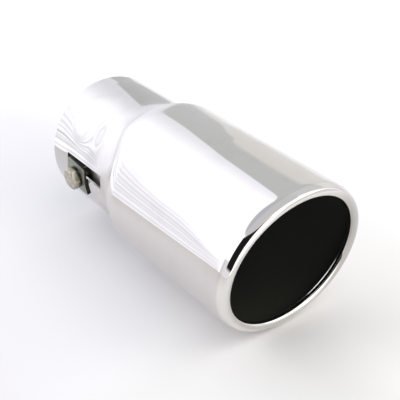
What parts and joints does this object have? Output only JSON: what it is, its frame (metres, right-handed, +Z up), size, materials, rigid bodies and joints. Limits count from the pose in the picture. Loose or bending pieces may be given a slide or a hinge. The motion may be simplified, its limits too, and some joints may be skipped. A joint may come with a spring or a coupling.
{
  "type": "exhaust tip",
  "caption": "Round polished exhaust tailpipe trim with a narrower neck, a smooth shoulder, a slanted rolled-in mouth and a screw clamp in the neck's side.",
  "frame": {"origin": "centre of the neck's open end, on the tube's axis", "axes": "+X along the tube from the neck to the mouth, +Z up as fitted to a car with the mouth's longer side on top, the clamp screw's head on the -Y side"},
  "size_m": [0.1575, 0.076, 0.076],
  "materials": {
    "polished_sheet": "mirror polished outside, matt black inside",
    "dull_zinc": "dull zinc plate",
    "dark_spring_steel": "oiled black",
    "nickel_plate": "satin nickel plate"
  },
  "bodies": {
    "tip": {"tip_shell": "polished_sheet", "clamp_plate": "dull_zinc", "spring_washer": "dark_spring_steel"},
    "screw": {"clamp_screw": "nickel_plate"},
    "jaw": {"clamp_jaw": "dull_zinc", "jaw_nut": "nickel_plate"}
  },
  "joints": [
    {"name": "screw_turn", "type": "hinge", "parent": "tip", "child": "screw", "pos_m": [0.0237, -0.0346, 0], "axis": [0, 1, 0], "range_deg": [-1080, 1260]},
    {"name": "jaw_travel", "type": "slide", "parent": "tip", "child": "jaw", "axis": [0, -1, 0], "range_m": [-0.003, 0.0035]}
  ],
  "couplings": [
    {"joint": "screw_turn", "follows": "jaw_travel", "rad_per_m": 6283.2}
  ]
}
